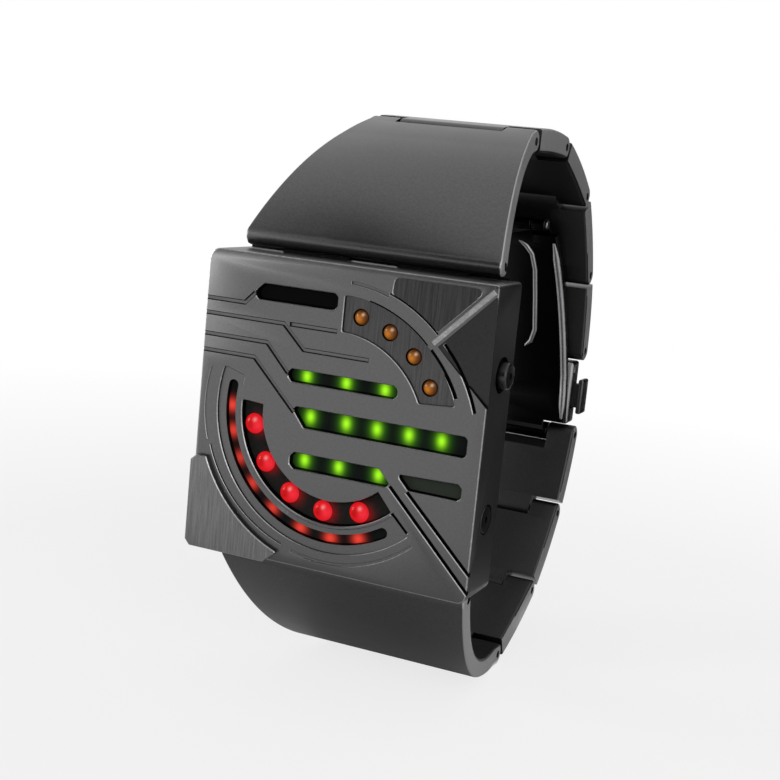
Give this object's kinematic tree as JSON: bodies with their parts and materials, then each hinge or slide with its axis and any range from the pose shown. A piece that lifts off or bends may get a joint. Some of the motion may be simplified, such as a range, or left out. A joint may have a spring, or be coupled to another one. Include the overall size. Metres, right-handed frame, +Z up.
{
  "type": "led watch",
  "caption": "Square dark steel wristwatch that shows the time with red and green lamps behind slots, on a linked bracelet with a folding clasp.",
  "frame": {"origin": "centre of the case back's flat outer face, the face that lies on the wrist", "axes": "+X right across the dial towards its push buttons, +Y from the dial into the bracelet's loop, +Z up towards the top of the dial"},
  "size_m": [0.0415, 0.0709, 0.0811],
  "materials": {
    "gunmetal": "satin dark grey coating with fine vertical brushing",
    "strap_steel": "satin dark grey coating",
    "polished_black": "polished near-black coating",
    "pin_steel": "plain turned steel",
    "smoked_acrylic": "dark smoked, glossy",
    "red_lamp": "glossy coloured lamp",
    "red_glow": "coloured strip behind the outer arc",
    "amber_lamp": "glossy unlit coloured lamp",
    "green_led": "lit chips on a strip",
    "board_green": "green laminate",
    "black_plastic": "moulded, matt",
    "rubber": "soft, matt",
    "cell_steel": "bright plated"
  },
  "bodies": {
    "case": {"case_body": "gunmetal", "case_back": "gunmetal", "case_back_gasket": "rubber", "case_back_screw_1": "pin_steel", "case_back_screw_2": "pin_steel", "case_back_screw_3": "pin_steel", "case_back_screw_4": "pin_steel", "light_filter": "smoked_acrylic", "red_led_arc": "red_lamp", "red_glow_arc": "red_glow", "amber_led_arc": "amber_lamp", "green_led_row_top": "green_led", "green_led_row_middle": "green_led", "green_led_row_low": "green_led", "circuit_board": "board_green", "cell_frame": "black_plastic", "coin_cell_1": "cell_steel", "coin_cell_2": "cell_steel", "cell_clip": "cell_steel", "upper_switch": "black_plastic", "lower_switch": "black_plastic", "upper_lug_pin": "pin_steel", "lower_lug_pin": "pin_steel"},
    "upper_button": {"upper_button": "gunmetal"},
    "lower_button": {"lower_button": "gunmetal"},
    "upper_shell": {"upper_shell": "strap_steel", "pin_a": "pin_steel"},
    "link_a": {"link_a": "strap_steel", "pin_b": "pin_steel"},
    "link_b": {"link_b": "strap_steel", "pin_c": "pin_steel"},
    "link_c": {"link_c": "strap_steel", "pin_d": "pin_steel"},
    "link_d": {"link_d": "strap_steel", "pin_latch": "pin_steel"},
    "latch": {"latch_body": "strap_steel", "pin_blade": "pin_steel"},
    "right_release": {"right_release": "strap_steel"},
    "left_release": {"left_release": "strap_steel"},
    "blade": {"fold_blade": "polished_black", "pin_fold": "pin_steel"},
    "base": {"clasp_base_plate": "polished_black", "clasp_spring_bar": "pin_steel"},
    "lower_shell": {"lower_shell": "strap_steel", "pin_g": "pin_steel"},
    "link_g": {"link_g": "strap_steel", "pin_f": "pin_steel"},
    "link_f": {"link_f": "strap_steel", "pin_e": "pin_steel"},
    "link_e": {"link_e": "strap_steel"}
  },
  "joints": [
    {"name": "upper_shell_hinge", "type": "hinge", "parent": "case", "child": "upper_shell", "pos_m": [0, -0.0027, 0.0216], "axis": [1, 0, 0], "range_deg": [0, 12]},
    {"name": "link_a_hinge", "type": "hinge", "parent": "upper_shell", "child": "link_a", "pos_m": [0, 0.02022, 0.0375], "axis": [1, 0, 0], "range_deg": [0, 16]},
    {"name": "link_b_hinge", "type": "hinge", "parent": "link_a", "child": "link_b", "pos_m": [0, 0.0348, 0.0373], "axis": [1, 0, 0], "range_deg": [0, 24]},
    {"name": "link_c_hinge", "type": "hinge", "parent": "link_b", "child": "link_c", "pos_m": [0, 0.04872, 0.0302], "axis": [1, 0, 0], "range_deg": [0, 28]},
    {"name": "link_d_hinge", "type": "hinge", "parent": "link_c", "child": "link_d", "pos_m": [0, 0.0561, 0.0174], "axis": [1, 0, 0], "range_deg": [0, 18]},
    {"name": "latch_hinge", "type": "hinge", "parent": "link_d", "child": "latch", "pos_m": [0, 0.0585, 0.0046], "axis": [1, 0, 0], "range_deg": [0, 12]},
    {"name": "blade_hinge", "type": "hinge", "parent": "latch", "child": "blade", "pos_m": [0, 0.0575, 0.0014], "axis": [1, 0, 0], "range_deg": [0, 32]},
    {"name": "fold_hinge", "type": "hinge", "parent": "blade", "child": "base", "pos_m": [0, 0.0465, 0.0252], "axis": [-1, 0, 0], "range_deg": [0, 80]},
    {"name": "right_release_slide", "type": "slide", "parent": "latch", "child": "right_release", "axis": [-1, 0, 0], "range_m": [0, 0.0008], "stiffness_N_per_m": 900},
    {"name": "left_release_slide", "type": "slide", "parent": "latch", "child": "left_release", "axis": [1, 0, 0], "range_m": [0, 0.0008], "stiffness_N_per_m": 900},
    {"name": "upper_button_slide", "type": "slide", "parent": "case", "child": "upper_button", "axis": [-1, 0, 0], "range_m": [0, 0.0006], "stiffness_N_per_m": 900},
    {"name": "lower_button_slide", "type": "slide", "parent": "case", "child": "lower_button", "axis": [-1, 0, 0], "range_m": [0, 0.0006], "stiffness_N_per_m": 900},
    {"name": "lower_shell_hinge", "type": "hinge", "parent": "case", "child": "lower_shell", "pos_m": [0, -0.0027, -0.0216], "axis": [-1, 0, 0], "range_deg": [0, 12]},
    {"name": "link_g_hinge", "type": "hinge", "parent": "lower_shell", "child": "link_g", "pos_m": [0, 0.02958, -0.04], "axis": [-1, 0, 0], "range_deg": [0, 22]},
    {"name": "link_f_hinge", "type": "hinge", "parent": "link_g", "child": "link_f", "pos_m": [0, 0.04392, -0.0334], "axis": [-1, 0, 0], "range_deg": [0, 22]},
    {"name": "link_e_hinge", "type": "hinge", "parent": "link_f", "child": "link_e", "pos_m": [0, 0.05358, -0.0224], "axis": [-1, 0, 0], "range_deg": [0, 19]}
  ],
  "couplings": [
    {"joint": "blade_hinge", "follows": "fold_hinge", "ratio": 0.4}
  ]
}
